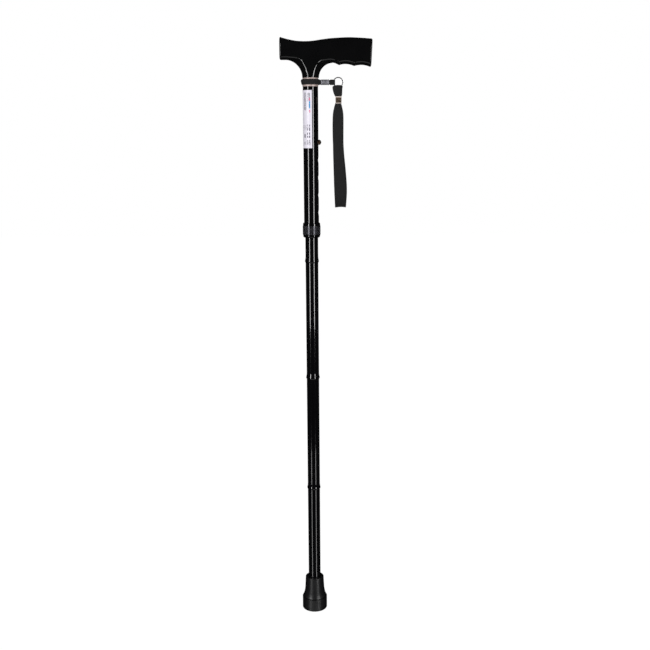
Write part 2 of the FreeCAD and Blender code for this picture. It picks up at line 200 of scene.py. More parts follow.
# ---- materials ----
class Paint:
    """A Principled material and short ways to add nodes to it."""

    def __init__(self, name, colour, roughness, **shader):
        self.material = bpy.data.materials.new(name)
        self.material.use_nodes = True
        self.tree = self.material.node_tree
        self.shader = self.tree.nodes["Principled BSDF"]
        self.set("Base Color", (*colour, 1))
        self.set("Roughness", roughness)
        for key, value in shader.items():
            self.set(key.replace("_", " "), value)

    def set(self, name, value):
        self.join(value, self.shader.inputs[name])

    def join(self, value, socket):
        if isinstance(value, bpy.types.NodeSocket):
            self.tree.links.new(value, socket)
        else:
            socket.default_value = value

    def node(self, kind, **inputs):
        made = self.tree.nodes.new("ShaderNode" + kind)
        for key, value in inputs.items():
            self.join(value, made.inputs[key])
        return made

    def place(self, stretch=(1, 1, 1)):
        """Object coordinates, in metres at rest, divided by stretch along each axis."""
        at = self.tree.nodes.new("ShaderNodeTexCoord").outputs["Object"]
        mapping = self.node("Mapping", Vector=at)
        mapping.inputs["Scale"].default_value = [1 / s for s in stretch]
        return mapping.outputs["Vector"]

    def axis(self, index):
        return self.node("SeparateXYZ", Vector=self.place()).outputs[index]

    def noise(self, size, detail=3.0, stretch=(1, 1, 1)):
        """Noise with features of about size metres."""
        made = self.node("TexNoise", Vector=self.place(stretch), Scale=1 / size, Detail=detail)
        return made.outputs["Fac"]

    def cells(self, size, stretch=(1, 1, 1)):
        made = self.node("TexVoronoi", Vector=self.place(stretch), Scale=1 / size)
        return made.outputs["Distance"]

    def math(self, operation, a, b=0.0, c=0.0):
        made = self.tree.nodes.new("ShaderNodeMath")
        made.operation = operation
        for socket, value in zip(made.inputs, (a, b, c)):
            self.join(value, socket)
        return made.outputs[0]

    def spread(self, value, low, high, start=0.3, end=0.7):
        """value from start to end, mapped smoothly onto low to high."""
        made = self.tree.nodes.new("ShaderNodeMapRange")
        made.interpolation_type = "SMOOTHSTEP"
        for key, number in zip(("Value", "From Min", "From Max", "To Min", "To Max"),
                               (value, start, end, low, high)):
            self.join(number, made.inputs[key])
        return made.outputs[0]

    def mix(self, share, first, second):
        made = self.tree.nodes.new("ShaderNodeMix")
        made.data_type = "RGBA"
        self.join(share, made.inputs["Factor"])
        for socket, colour in zip((made.inputs["A"], made.inputs["B"]), (first, second)):
            self.join(colour if isinstance(colour, bpy.types.NodeSocket) else (*colour, 1), socket)
        return made.outputs["Result"]

    def bump(self, *layers):
        """Each layer is (height, depth in metres)."""
        below = None
        for height, depth in layers:
            made = self.node("Bump", Height=height, Distance=depth, Strength=1.0)
            if below is not None:
                self.join(below, made.inputs["Normal"])
            below = made.outputs["Normal"]
        self.set("Normal", below)


def tube_enamel():
    p = Paint("tube_enamel", (0.002, 0.002, 0.0022), 0.1, Coat_Weight=1.0, Coat_Roughness=0.04)
    drift = p.noise(0.03, 2, (1, 1, 4))
    p.set("Base Color", p.mix(drift, (0.0012, 0.0012, 0.0014), (0.0026, 0.0026, 0.003)))
    scuffs = p.spread(p.noise(0.0006, 4, (1, 1, 30)), 0, 1, 0.62, 0.78)
    p.set("Roughness", p.math("ADD", p.spread(drift, 0.08, 0.12), p.math("MULTIPLY", scuffs, 0.03)))
    p.bump((p.noise(0.0025, 2), 1.5e-7), (scuffs, 5e-8))
    return p.material


def handle_plastic():
    p = Paint("handle_plastic", (0.003, 0.003, 0.0032), 0.12, Specular_IOR_Level=0.75)
    drift = p.noise(0.02, 3)
    p.set("Base Color", p.mix(drift, (0.002, 0.002, 0.0022), (0.0038, 0.0038, 0.004)))
    p.set("Roughness", p.spread(p.noise(0.006, 4), 0.06, 0.1))
    seam = p.spread(p.math("ABSOLUTE", p.axis(1)), 1, 0, 0.00008, 0.0002)
    p.bump((p.cells(0.00045), 5e-7), (p.noise(0.0002, 2), 3e-7), (seam, 5e-5))
    return p.material


def tip_rubber():
    p = Paint("tip_rubber", (0.01, 0.01, 0.011), 0.42, Specular_IOR_Level=0.8)
    bloom = p.noise(0.008, 5)
    p.set("Base Color", p.mix(bloom, (0.0035, 0.0035, 0.004), (0.007, 0.007, 0.008)))
    p.set("Roughness", p.spread(p.noise(0.003, 4), 0.32, 0.4))
    p.bump((p.noise(0.0004, 4), 1.1e-5), (p.cells(0.0012), 6e-6))
    return p.material


NUT_BAND_LOW = (0.6058, 0.6064)         # heights that the nut's grey band begins and ends over
NUT_BAND_HIGH = (0.6183, 0.6189)
# how many painted highlight columns go round the nut's band
NUT_HIGHLIGHT_COLUMNS = 12


def nut_plastic():
    """Black gloss at the two rims, and a greyer, speckled ribbed band between them, with painted
    highlights: lighter columns round the band where ribs would catch the lamps.
    """
    p = Paint("nut_plastic", (0.006, 0.006, 0.007), 0.25, Specular_IOR_Level=0.9)
    z = p.axis(2)
    low = p.spread(z, 0, 1, *NUT_BAND_LOW)
    high = p.spread(z, 1, 0, *NUT_BAND_HIGH)
    band = p.math("MULTIPLY", low, high)
    speck = p.spread(p.noise(0.0005, 4), 0, 1, 0.35, 0.65)
    around = p.math("ADD", p.math("ARCTAN2", p.axis(1), p.axis(0)), math.pi / 2)
    # painted highlight: lighter grey columns round the band, dark at the front, standing in for the
    # glints of ribs
    painted_highlight_columns = p.spread(p.math("COSINE", p.math("MULTIPLY", around, NUT_HIGHLIGHT_COLUMNS)), 1, 0, -0.5, 0.5)
    wear_and_highlight = p.mix(speck, (0.07, 0.07, 0.08), (0.13, 0.13, 0.145))
    grey = p.mix(painted_highlight_columns, p.mix(speck, (0.03, 0.03, 0.036), (0.08, 0.08, 0.09)), wear_and_highlight)
    p.set("Base Color", p.mix(band, (0.002, 0.002, 0.0025), grey))
    p.set("Metallic", p.spread(band, 0, 0.97, 0, 1))
    p.set("Roughness", p.spread(band, 0.05, 0.3, 0, 1))
    p.bump((p.noise(0.0004, 3), 1.2e-5), (p.noise(0.002, 2), 3e-6))
    return p.material


def metal(name, colour, wear_and_highlight, roughness, stretch=(1, 1, 1), grain=0.0004, depth=4e-6, share=1.0):
    """Metal with drawn or brushed grain along its longest stretch, and patches of tarnish.

    A share under 1 is a satin or lacquered finish, which scatters part of the light.
    """
    p = Paint(name, colour, roughness, Metallic=share)
    tarnish = p.spread(p.noise(0.0035, 5), 0, 1, 0.42, 0.72)
    brushed = p.noise(grain, 3, stretch)
    p.set("Base Color", p.mix(tarnish, colour, wear_and_highlight))
    rough = p.math("MULTIPLY_ADD", tarnish, 0.16, p.spread(brushed, roughness - 0.06, roughness + 0.06))
    p.set("Roughness", rough)
    p.bump((brushed, depth), (p.noise(0.0015, 3), 2 * depth))
    return p.material


CRIMP_X = RING_X + 0.45                 # middle of the loop's crimp


def crimp_brass():
    """Aged brass: dark patches over the middle, rubbed bright along the two lips."""
    p = Paint("crimp_brass", (0.3, 0.21, 0.15), 0.36, Metallic=0.8)
    low, high = (corner.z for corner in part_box("strap_crimp"))
    z = p.axis(2)
    x = p.axis(0)
    lips = p.math("MAXIMUM", p.spread(z, 0, 1, high - 0.0019, high - 0.0008),
                  p.spread(z, 1, 0, low + 0.0005, low + 0.0012))
    aside = p.math("ABSOLUTE", p.math("SUBTRACT", x, CRIMP_X * MM))
    lips = p.math("MAXIMUM", lips, p.spread(aside, 0, 1, 0.0038, 0.0043))
    patches = p.spread(p.noise(0.0016, 5), 0, 1, 0.38, 0.62)
    middle = p.mix(patches, (0.05, 0.04, 0.033), (0.30, 0.21, 0.14))
    p.set("Base Color", p.mix(lips, middle, (0.78, 0.68, 0.62)))
    p.set("Metallic", p.spread(lips, 0.8, 0.25, 0, 1))
    p.set("Roughness", p.spread(patches, 0.5, 0.32, 0, 1))
    p.bump((p.noise(0.0004, 4), 8e-6), (patches, 3e-5))
    return p.material


def plain_plastic(name, colour, roughness, size=0.001):
    """Moulded nylon or acetal: soft mottling, faint flow marks and a fine grain."""
    p = Paint(name, colour, roughness, Subsurface_Weight=0.05)
    darker = [0.8 * c for c in colour]
    p.set("Base Color", p.mix(p.noise(0.006, 4), darker, colour))
    p.set("Roughness", p.spread(p.noise(size * 3, 3), roughness - 0.08, roughness + 0.08))
    p.bump((p.noise(size, 3), 8e-6), (p.noise(size * 6, 2), 1.5e-5))
    return p.material


def woven(name, dark, light, pitch, roughness=0.8, sheen=0.12):
    """Woven yarn read from the piece's own map, in millimetres across and along the tape."""
    p = Paint(name, light, roughness, Sheen_Weight=sheen, Sheen_Roughness=0.5)
    weave = p.tree.nodes.new("ShaderNodeUVMap")
    weave.uv_map = "weave"
    split = p.node("SeparateXYZ", Vector=weave.outputs["UV"])
    turn = 2 * math.pi / pitch
    across = p.math("SINE", p.math("MULTIPLY", split.outputs[0], turn))
    along = p.math("SINE", p.math("MULTIPLY", split.outputs[1], turn * 0.8))
    yarn = p.spread(p.math("MULTIPLY", across, along), 0, 1, -0.9, 0.9)
    fibres = p.node("TexNoise", Vector=weave.outputs["UV"], Scale=9.0, Detail=4.0).outputs["Fac"]
    shade = p.math("MULTIPLY_ADD", fibres, 0.5, p.math("MULTIPLY", yarn, 0.5))
    p.set("Base Color", p.mix(shade, dark, light))
    p.set("Roughness", p.spread(fibres, roughness - 0.1, roughness + 0.1))
    p.bump((yarn, 9e-5), (fibres, 5e-5))
    return p.material


def film(name, colour):
    """Printed plastic film under a gloss layer."""
    p = Paint(name, colour, 0.3, Coat_Weight=0.25, Coat_Roughness=0.1)
    p.set("Base Color", p.mix(p.noise(0.004, 4), [0.94 * c for c in colour], colour))
    p.set("Roughness", p.spread(p.noise(0.0015, 3), 0.26, 0.36))
    p.bump((p.noise(0.003, 3), 1.2e-5), (p.noise(0.0003, 2), 2e-6))
    return p.material


ALONG_Z = (1, 1, 40)        # grain that runs along it
paints = {
    "tube_enamel": tube_enamel(),
    "handle_plastic": handle_plastic(),
    "tip_rubber": tip_rubber(),
    "nut_plastic": nut_plastic(),
    "collar_brass": metal("collar_brass", (0.55, 0.45, 0.42), (0.40, 0.32, 0.29), 0.45, (4, 4, 0.3),
                          share=0.3),
    "button_brass": metal("button_brass", (0.33, 0.22, 0.14), (0.10, 0.06, 0.04), 0.26),
    "bare_aluminium": metal("bare_aluminium", (0.6, 0.6, 0.62), (0.4, 0.4, 0.42), 0.3, ALONG_Z),
    "spring_steel": metal("spring_steel", (0.35, 0.35, 0.38), (0.2, 0.19, 0.2), 0.28, ALONG_Z),
    "pin_steel": metal("pin_steel", (0.5, 0.5, 0.52), (0.3, 0.3, 0.3), 0.25, (1, 20, 1)),
    "ring_chrome": metal("ring_chrome", (0.55, 0.55, 0.57), (0.42, 0.42, 0.44), 0.14, depth=1e-6),
    "crimp_grey": metal("crimp_grey", (0.30, 0.30, 0.33), (0.16, 0.16, 0.18), 0.38, (12, 1, 1)),
    "crimp_brass": crimp_brass(),
    "thread_plastic": plain_plastic("thread_plastic", (0.012, 0.012, 0.013), 0.4),
    "clamp_nylon": plain_plastic("clamp_nylon", (0.35, 0.35, 0.33), 0.42),
    "bush_nylon": plain_plastic("bush_nylon", (0.5, 0.49, 0.45), 0.4),
    "label_film": film("label_film", (0.80, 0.77, 0.86)),
    "webbing": woven("webbing", (0.002, 0.002, 0.0022), (0.0078, 0.0078, 0.0084), 0.62, sheen=0.04),
    "elastic_braid": woven("elastic_braid", (0.02, 0.02, 0.022), (0.16, 0.16, 0.17), 0.8, 0.7),
}
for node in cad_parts.values():
    for slot in node.material_slots:
        slot.material = paints[slot.material.name]


# ---- handle ----
# along the grip: x and the crown's height over the collar, then x and half the width
GRIP_TOP = [(-43.4, 55.6), (-42.4, 56.0), (-40.6, 55.4), (-35, 53.8), (-30, 52.6), (-24, 51.4),
            (-18.6, 50.6), (-7.3, 50.1), (4.1, 50.7), (15.5, 52.3), (26.8, 53.7), (38.2, 54.5),
            (55, 55.1), (72, 54.4), (84, 53.5), (88.6, 53.1)]
GRIP_HALF = [(-43.4, 12.6), (-36, 13.0), (-8, 13.0), (24, 13.2), (51.5, 13.7), (72.5, 13.4),
             (88.6, 13.0)]
GRIP_LEFT, GRIP_RIGHT = -43.4, 88.6
GRIP_RINGS, GRIP_SPOKES = 190, 96
SHORT_END_LOW = 25.0                    # the underside's height at the short end
CUSPS = [(22.0, 20.6), (41.2, 17.4), (62.7, 16.1), (87.6, 14.7)]    # ridges between the finger hollows
HOLLOW = 2.2                            # depth of each hollow
LEFT_SWEEP, LEFT_X = 25.0, -36.5        # the neck's quarter circle to the short end
RIGHT_SWEEP, RIGHT_X = 20.6, 33.0       # and to the long end
NECK_R = 11.8
EDGE_R = 1.5                            # rounding where the grip meets its end faces
END_LEAN = 0.05                         # slope of the long end's face


def grip_underside(x):
    """Its height over the collar: level, then a slope to the first of the cusps, then the hollows."""
    if x < LEFT_X + 2:
        return SHORT_END_LOW
    if x < CUSPS[0][0]:
        share = (x - LEFT_X - 2) / (CUSPS[0][0] - LEFT_X - 2)
        return SHORT_END_LOW + share * (CUSPS[0][1] - SHORT_END_LOW)
    for (x0, z0), (x1, z1) in zip(CUSPS, CUSPS[1:]):
        if x <= x1:
            t = (x - x0) / (x1 - x0)
            return z0 + t * (z1 - z0) + HOLLOW * math.sin(math.pi * t) ** 0.75
    return CUSPS[-1][1]


def grip_ring(x, inset):
    """One outline across the grip: a crown above, flatter sides, and tighter lower edges."""
    bottom, top = grip_underside(x) + inset, through(GRIP_TOP, x) - inset
    half = through(GRIP_HALF, x) - inset
    crown = 0.52 * (top - bottom)
    middle = top - crown
    ring = []
    for n in range(GRIP_SPOKES):
        a = 2 * math.pi * n / GRIP_SPOKES
        c, s = math.cos(a), math.sin(a)
        roundness = 0.78 if s >= 0 else 0.55
        reach = crown if s >= 0 else middle - bottom
        z = middle + reach * power(s, roundness)
        lean = END_LEAN * ease((x - 70) / 18) * (z - 50)
        ring.append((x + lean, half * power(c, roundness), NECK_Z + z))
    return ring


def capped(name, rings):
    """A closed solid from rings of points, with a flat face at each end."""
    wide = len(rings[0])
    points = [p for ring in rings for p in ring]
    faces = grid_faces(len(rings), wide, around=True)
    faces += [tuple(reversed(range(wide))), tuple(range(len(points) - wide, len(points)))]
    return mesh_piece(name, points, faces)


def grip_solid():
    """Rings along the grip, drawn in at both ends for the rounding there."""
    rounding = []
    for n in range(6):
        reach = EDGE_R * (1 - math.cos(math.pi / 2 * n / 6))
        rounding.append((reach, EDGE_R - math.sqrt(EDGE_R**2 - (EDGE_R - reach) ** 2)))
    rings = [grip_ring(GRIP_LEFT + reach, inset) for reach, inset in rounding]
    rings += [grip_ring(x, 0) for x in np.linspace(GRIP_LEFT + EDGE_R, GRIP_RIGHT - EDGE_R, GRIP_RINGS)]
    rings += [grip_ring(GRIP_RIGHT - reach, inset) for reach, inset in reversed(rounding)]
    return capped("grip", rings)


# the neck's two ridge lines: height over the collar, and distance to the side
RIDGE_LEFT = [(0, 4.0), (9.7, 5.6), (17.1, 8.6), (22, 11.2), (24.6, 13.0), (27, 15.8)]
RIDGE_RIGHT = [(0, 4.0), (9.7, 6.1), (16.4, 9.0), (20.1, 11.6), (24, 15.0), (27, 18.5)]
RIDGE_AT = math.sin(math.radians(20))   # each ridge line is where the surface has turned this far
NECK_TOP, NECK_RINGS = 27.0, 44
NECK_MIN_R = 4.0                        # the tightest rounding of its corners


def rounded(corners, radius, step=6):
    """A closed outline round a convex polygon, clockwise from above, with one radius at each corner."""
    outline = []
    count = len(corners)
    for n, (x, y) in enumerate(corners):
        (x0, y0), (x1, y1) = corners[n - 1], corners[(n + 1) % count]
        start = math.atan2(x - x0, y0 - y)
        end = math.atan2(x1 - x, y - y1)
        while end > start:
            end -= 2 * math.pi
        for k in range(step + 1):
            a = start + (end - start) * k / step
            outline.append((x + radius * math.cos(a), y + radius * math.sin(a)))
    return outline


def neck_solid():
    """Level rings from the collar up: a circle there, then a flat front between two spreading ridges."""
    rings = []
    for n in range(NECK_RINGS):
        height = NECK_TOP * math.sin(math.pi / 2 * n / (NECK_RINGS - 1))
        left = -LEFT_X - math.sqrt(max(LEFT_SWEEP**2 - height**2, 0))
        right = RIGHT_X - math.sqrt(max(RIGHT_SWEEP**2 - height**2, 0))
        deep = NECK_R + 0.2 * ease(height / 25)
        spread = max(left - through(RIDGE_LEFT, height), right - through(RIDGE_RIGHT, height))
        radius = min(max((deep - 0.6 * spread) / (1 - 0.6 * (1 - RIDGE_AT)), NECK_MIN_R), NECK_R)
        half = max(deep - radius, 0.005)
        near_left = max(through(RIDGE_LEFT, height) - radius * RIDGE_AT, 0.01)
        near_right = max(through(RIDGE_RIGHT, height) - radius * RIDGE_AT, 0.01)
        far_left, far_right = max(left - radius, 0.02), max(right - radius, 0.02)
        near_left, near_right = min(near_left, far_left - 0.01), min(near_right, far_right - 0.01)
        corners = [(-far_left, 0), (-near_left, half), (near_right, half), (far_right, 0),
                   (near_right, -half), (-near_left, -half)]
        rings.append([(x, y, NECK_Z + height) for x, y in rounded(corners, radius)])
    low = [(x, y, NECK_Z - 3.0) for x, y, _ in rings[0]]
    return capped("neck", [low] + rings)


CREASE_Z, CREASE_REACH = 27.5, 6.5      # where the neck runs into the grip, smoothed once more
CREASE_X, CREASE_HALF = -2, 39


def handle():
    """Grip and neck made one closed skin, with the joint between them smoothed."""
    grip, neck = grip_solid(), neck_solid()
    with bpy.context.temp_override(active_object=grip, selected_editable_objects=[grip, neck]):
        bpy.ops.object.join()
    grip.name = grip.data.name = "handle_grip"
    remesh = grip.modifiers.new("remesh", "REMESH")
    remesh.mode = "VOXEL"
    remesh.voxel_size = 0.6 * MM
    freeze(grip)
    count = len(grip.data.vertices)
    relax(grip, np.full(count, 0.5), 6, shrink=1.03)
    co = np.array([v.co for v in grip.data.vertices]) / MM - np.array([0, 0, NECK_Z])
    rise = np.clip(1 - np.abs(co[:, 2] - CREASE_Z) / CREASE_REACH, 0, 1)
    inside = np.clip((CREASE_HALF - np.abs(co[:, 0] - CREASE_X)) / 8, 0, 1)
    aside = np.clip((np.abs(co[:, 1]) - 2.0) / 3, 0, 1)
    relax(grip, 0.5 * rise * inside * aside, 50)
    relax(grip, np.full(count, 0.5), 10, shrink=1.03)
    trim_below(grip, NECK_Z + 0.05)
    grip.data.polygons.foreach_set("use_smooth", [True] * len(grip.data.polygons))
    return place(grip, "upper", "handle_plastic", paints["handle_plastic"], "handle")


def trim_below(obj, z):
    """Cuts a closed mesh off level at z, in millimetres, and closes the cut."""
    work = bmesh.new()
    work.from_mesh(obj.data)
    everything = work.verts[:] + work.edges[:] + work.faces[:]
    cut = bmesh.ops.bisect_plane(work, geom=everything, plane_co=(0, 0, z * MM), plane_no=(0, 0, 1),
                                 clear_inner=True)
    rim = [e for e in cut["geom_cut"] if isinstance(e, bmesh.types.BMEdge)]
    bmesh.ops.contextual_create(work, geom=rim)
    work.to_mesh(obj.data)
    work.free()


# ---- label ----
LABEL_LOW, LABEL_HIGH = (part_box("tube_label")[n].z / MM for n in (0, 1))
LABEL_FROM, LABEL_TO = -207.0, -79.0    # degrees from +X, as in the part
LABEL_T = 0.15
LABEL_COLUMNS, LABEL_ROWS = 50, 166


def label():
    """A film on the tube with rows of plain marks, each one cell of the grid."""
    columns, rows = LABEL_COLUMNS, LABEL_ROWS
    points = []
    for side in (LABEL_T, 0.01):
        for j in range(rows + 1):
            for i in range(columns + 1):
                a = math.radians(LABEL_FROM + (LABEL_TO - LABEL_FROM) * i / columns)
                z = LABEL_LOW + (LABEL_HIGH - LABEL_LOW) * j / rows
                points.append(((TUBE_R + side) * math.cos(a), (TUBE_R + side) * math.sin(a), z))
    outer = grid_faces(rows + 1, columns + 1)
    step = len(points) // 2
    inner = [tuple(step + k for k in reversed(face)) for face in outer]
    rim = ([j * (columns + 1) for j in range(rows)]
           + [rows * (columns + 1) + i for i in range(columns)]
           + [j * (columns + 1) + columns for j in range(rows, 0, -1)]
           + list(range(columns, 0, -1)))
    edge = [(a, b, b + step, a + step) for a, b in zip(rim, rim[1:] + rim[:1])]
    piece = mesh_piece("label_print", points, outer + inner + edge)
    inks = [paints["label_film"], film("ink_grey", (0.22, 0.22, 0.25)),
            film("ink_rose", (0.75, 0.16, 0.3)), film("ink_blue", (0.05, 0.3, 0.62)),
            film("ink_dark", (0.03, 0.025, 0.06)), film("ink_soft", (0.13, 0.13, 0.15))]
    for ink in inks:
        piece.data.materials.append(ink)
    marks = label_marks(columns, rows)
    for (i, j), ink in marks.items():
        piece.data.polygons[j * columns + i].material_index = ink
    return place(piece, "upper", "label_film", None, "tube_label")


def label_marks(columns, rows):
    """{(column, row): ink} for blocks of short dashes, in no script."""
    draw = random.Random(7)
    marks = {}

    def dashes(columns_at, low, high, ink, density):
        for i in columns_at:
            for j in range(int(low * rows), int(high * rows)):
                if draw.random() < density:
                    marks[i, j] = ink

    for column in (25, 26, 28, 29, 31):         # long grey lines that run down the film
        dashes([column], 0.66, 0.96, 5, 0.85)
    dashes([37, 38, 40, 41], 0.81, 0.955, 1, 0.6)
    dashes([42, 43], 0.81, 0.955, 5, 0.75)
    for low, high, ink in ((0.82, 0.87, 2), (0.69, 0.82, 3), (0.62, 0.668, 2)):
        dashes([41, 42, 43, 44], low, high, ink, 0.85)
    for column in (35, 41):                     # three groups of small marks
        dashes([column, column + 1, column + 2], 0.30, 0.41, 4, 0.5)
        dashes([column, column + 1, column + 2], 0.315, 0.355, 4, 0.9)
        dashes([column, column + 1, column + 2], 0.235, 0.275, 4, 0.95)
        dashes([column, column + 1, column + 2], 0.185, 0.22, 4, 0.95)
        dashes([column, column + 1, column + 3], 0.055, 0.15, 5, 0.7)
    dashes([25, 26, 27, 28], 0.185, 0.25, 4, 1.0)
    dashes([21, 23, 25, 27, 29, 30], 0.055, 0.12, 5, 0.6)
    dashes([21, 23, 26, 29, 31], 0.31, 0.40, 5, 0.45)
    return marks


# ---- webbing ----
def webbing(name, rows, thickness, rib=0.05, closed=False):
    """Tape of some thickness on a grid of middle points, rows[i][j], in millimetres.

    i runs along the tape and j across it. The yarns stand up in turn, and the edges are beaded.
    """
    middle = np.array(rows, float)
    count, wide = middle.shape[:2]
    if closed:
        along = np.roll(middle, -1, 0) - np.roll(middle, 1, 0)
    else:
        along = np.gradient(middle, axis=0)
    normal = np.cross(along, np.gradient(middle, axis=1))
    normal /= np.linalg.norm(normal, axis=2, keepdims=True)
    u = np.linspace(-1, 1, wide)
    body = np.where(np.abs(u) > 0.99, 0.35, 1.0) + 0.18 * np.exp(-((np.abs(u) - 0.92) / 0.06) ** 2)
    phase = np.where((np.arange(wide) // 2) % 2 == 0, 0.0, math.pi)
    lift = rib * np.cos(2 * math.pi * np.arange(count)[:, None] / 4 + phase[None, :])
    lift *= np.clip((1 - np.abs(u)) * 12, 0, 1)
    half = thickness / 2 * body[None, :, None]
    top = middle + normal * (half + lift[:, :, None])
    under = middle - normal * (half - lift[:, :, None])
    ring = np.concatenate([top, under[:, ::-1]], 1)
    faces = grid_faces(count, 2 * wide, around=True, along=closed)
    if not closed:
        last = (count - 1) * 2 * wide
        for j in range(wide - 1):
            faces.append((j + 1, j, 2 * wide - 1 - j, 2 * wide - 2 - j))
            faces.append((last + j, last + j + 1, last + 2 * wide - 2 - j, last + 2 * wide - 1 - j))
    piece = mesh_piece(name, ring.reshape(-1, 3).tolist(), faces)
    run = distances(middle[:, wide // 2])
    across = distances(middle[count // 2])
    across = np.concatenate([across, across[::-1]])
    layer = piece.data.uv_layers.new(name="weave")
    corners = np.zeros(len(piece.data.loops), int)
    piece.data.loops.foreach_get("vertex_index", corners)
    uv = np.stack([across[corners % (2 * wide)], run[corners // (2 * wide)]], 1)
    layer.data.foreach_set("uv", uv.ravel())
    return piece


STRAP_W = 15.5
# the loop's route, as in the part: down in front, round the bottom and up behind. x leans to the
# right on the way down, and more behind, where the loop's back half shows past the front.
STRAP_ROUTE = [
    (39.9, -0.95, 795.2), (39.85, -1.7, 780.0), (39.7, -3.6, 757.0), (39.7, -7.0, 729.0),
    (40.2, -10.2, 700.0), (40.8, -12.6, 673.0), (41.8, -10.4, 652.6), (42.8, -1.0, 645.0),
    (44.2, 9.0, 650.2), (45.6, 12.8, 671.0), (43.4, 10.8, 698.0), (40.2, 7.6, 727.0),
    (39.2, 4.0, 756.0), (39.6, 1.9, 780.0), (39.9, 0.95, 795.2)]


def wrist_strap():
    """The loop, gathered towards its crimp and turned a little on the way; also its route, in metres."""
    line = smooth_curve(STRAP_ROUTE, 0.275)
    count = len(line)
    tangents = np.gradient(line, axis=0)
    rows = []
    for n, (point, tangent) in enumerate(zip(line, tangents)):
        share = n / (count - 1)
        end = min(n, count - 1 - n) * np.linalg.norm(line[1] - line[0])
        gather = hump(end, 0, 11.0)
        half = (STRAP_W - 6.0 * gather - 1.6 * hump(end, 0, 3.0)) / 2
        yaw = (math.radians(16) * math.sin(math.pi * share) ** 2
               + math.radians(5) * math.sin(2 * math.pi * share))
        forward = Vector(tangent).normalized()
        across = Vector((math.cos(yaw), math.sin(yaw), 0))
        across = (across - across.dot(forward) * forward).normalized()
        out = forward.cross(across)
        fold = 0.45 * gather * (1 if share < 0.5 else -1)
        row = []
        for u in across_tape(25):
            cup = 0.35 * (1 - gather) * u * u * math.sin(9 * share + 1)
            lift = fold * math.cos(3 * math.pi * u) - cup
            row.append(Vector(point) + across * (u * half) + out * lift)
        rows.append([tuple(p) for p in row])
    piece = webbing("wrist_loop", rows, 1.15, rib=0.06)
    place(piece, "strap", "webbing", paints["webbing"], "wrist_strap")
    return piece, [tuple(c * MM for c in p) for p in line[::4]]


def strap_tab():
    """The tape's ends, folded through the ring and over its wire, and gathered into the crimp."""
    wire_z = RING_Z - RING_R
    # y, height over the wire, half width, shift in x, depth of the pleats
    side = [(1.15, -17.2, 2.9, 0.4, 0.35), (1.2, -13.4, 3.6, 0.4, 0.4), (1.35, -12.0, 5.1, 0.3, 0.45),
            (1.5, -9.6, 5.9, 0.0, 0.35), (1.7, -6.8, 6.4, -0.3, 0.22), (1.85, -3.6, 6.9, -0.7, 0.15),
            (1.9, -0.9, 7.2, -0.95, 0.1), (1.85, 0.9, 7.35, -1.05, 0.05), (1.6, 1.75, 6.6, -0.8, 0.1),
            (0.9, 2.25, 4.6, -0.1, 0.2)]
    stations = ([(-y, z, w, dx, p) for y, z, w, dx, p in side] + [(0.0, 2.35, 3.3, 0.0, 0.3)]
                + [(y, z, w, dx, p) for y, z, w, dx, p in reversed(side)])
    line = smooth_curve([(w, y, z) for y, z, w, _, _ in stations], 0.3)
    extras = smooth_curve([(dx, p, n) for n, (_, _, _, dx, p) in enumerate(stations)], 0.02)
    rows = []
    for n, (half, y, z) in enumerate(line):
        dx, pleat, _ = extras[round(n / (len(line) - 1) * (len(extras) - 1))]
        side_sign = -1 if n < len(line) / 2 else 1
        out = Vector((0, side_sign, 0)) if z < 1.6 else Vector((0, side_sign * 0.5, 1)).normalized()
        row = []
        for u in across_tape(25):
            wave = pleat * math.cos(2.5 * math.pi * u + 0.6) * (1 if side_sign < 0 else -1)
            droop = 0.5 * max(z, 0) / 2 * abs(u) ** 3
            row.append((RING_X + dx + half * u + out.x * wave, y + out.y * wave,
                        wire_z + z + out.z * wave - droop))
        rows.append(row)
    piece = webbing("strap_fold", rows, 0.95, rib=0.05)
    piece.data.materials.append(paints["webbing"])
    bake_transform(piece)
    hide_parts("strap_tab")
    return piece


BAND_LOW, BAND_HIGH = 819.45, 827.65
EYE_X = RING_X - RING_R + 0.25
# plan of the band: round the ring's wire, through the crimp, round the collar and back
BAND_SIDE = [(EYE_X + 1.55, -0.55), (EYE_X + 0.9, -1.5), (EYE_X - 1.2, -1.55), (29.5, -0.75),
             (26.0, -0.6), (20.0, -0.6), (15.6, -0.6), (13.6, -2.0), (12.1, -5.2), (9.6, -8.9),
             (5.0, -11.8), (0.0, -12.6), (-5.6, -11.2), (-9.8, -8.0), (-12.0, -4.1)]


def strap_band():
    """The band, narrower where it passes through its crimp and leaning away at its left end."""
    plan = BAND_SIDE + [(x, -y) for x, y in reversed(BAND_SIDE)]
    line = smooth_curve([(x, y, 0) for x, y in plan], 0.28, cyclic=True)
    rows = []
    tangents = np.roll(line, -1, 0) - np.roll(line, 1, 0)
    for (x, y, _), tangent in zip(line, tangents):
        forward = Vector(tangent).normalized()
        out = Vector((forward.y, -forward.x, 0))
        tail = ease((x - 11) / 4)
        past = ease((x - 31) / 3)
        middle = (BAND_LOW + BAND_HIGH) / 2 - 0.45 * tail
        waist = ease((x - 12) / 3) * (1 - ease((x - 27) / 2))
        half = (BAND_HIGH - BAND_LOW) / 2 - 0.35 - 0.75 * waist - 0.1 * past
        loose = 1.35 * ease((-x - 6) / 5)
        row = []
        for u in across_tape(15):
            push = out * (-loose * (1 - max(1.7 * (u - 0.5), 0.67 * (0.5 - u))))
            row.append((x + push.x, y + push.y, middle + half * u))
        rows.append(row)
    piece = webbing("collar_band", rows, 0.95, rib=0.045, closed=True)
    return place(piece, "band", "webbing", paints["webbing"], "strap_band")


